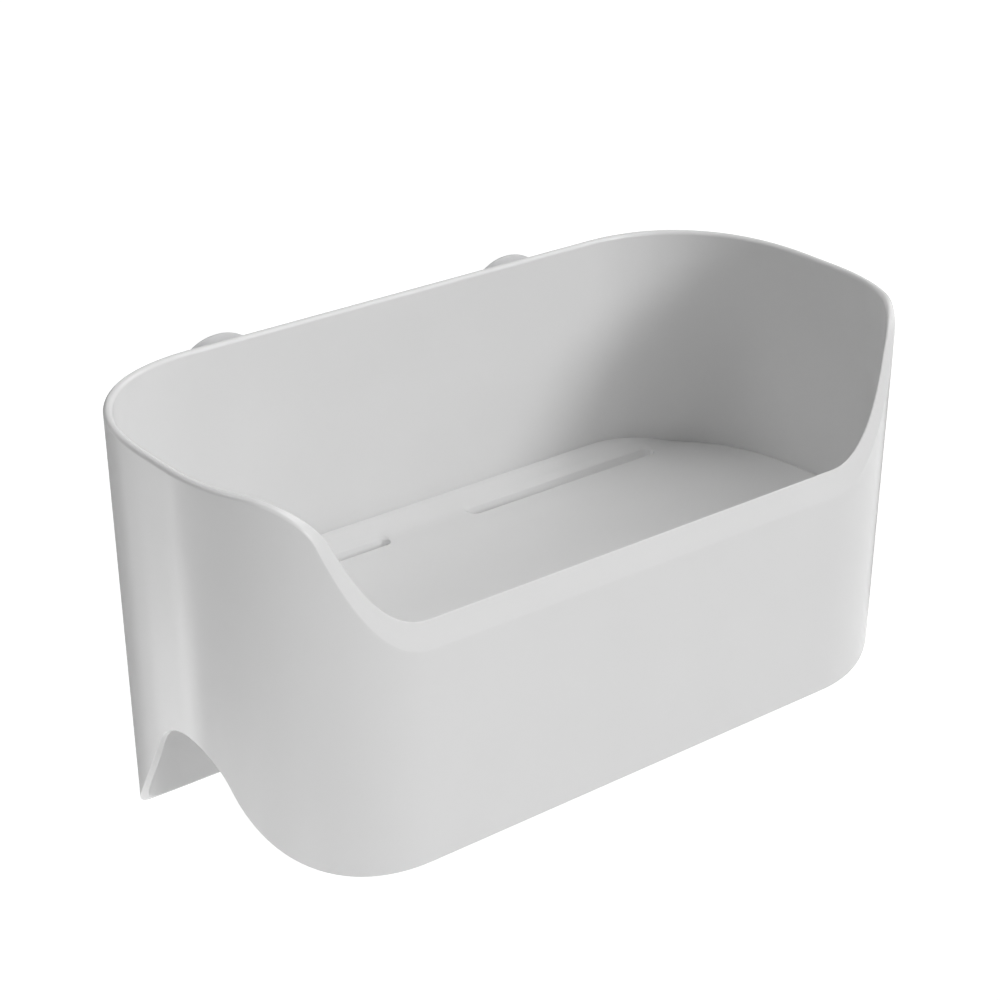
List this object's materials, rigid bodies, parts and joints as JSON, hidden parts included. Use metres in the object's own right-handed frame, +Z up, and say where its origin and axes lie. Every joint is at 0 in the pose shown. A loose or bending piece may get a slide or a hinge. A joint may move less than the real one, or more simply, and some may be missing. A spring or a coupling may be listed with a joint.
{
  "type": "grab bar basket",
  "caption": "Open moulded bath basket with a low swept front, slotted floor and arched ends that sit over a round grab bar, steadied on the wall by suction cups.",
  "frame": {"origin": "on the grab bar's centre line, midway along the basket", "axes": "+X along the bar and the basket's width, +Y from the bar towards the wall it is fixed to, +Z up"},
  "size_m": [0.203, 0.1105, 0.1178],
  "materials": {
    "basket_plastic": "satin moulded, very fine even texture",
    "cup_rubber": "smooth soft moulded"
  },
  "bodies": {
    "root": {"basket": "basket_plastic", "suction_cup_left": "cup_rubber", "suction_cup_right": "cup_rubber"}
  },
  "joints": []
}
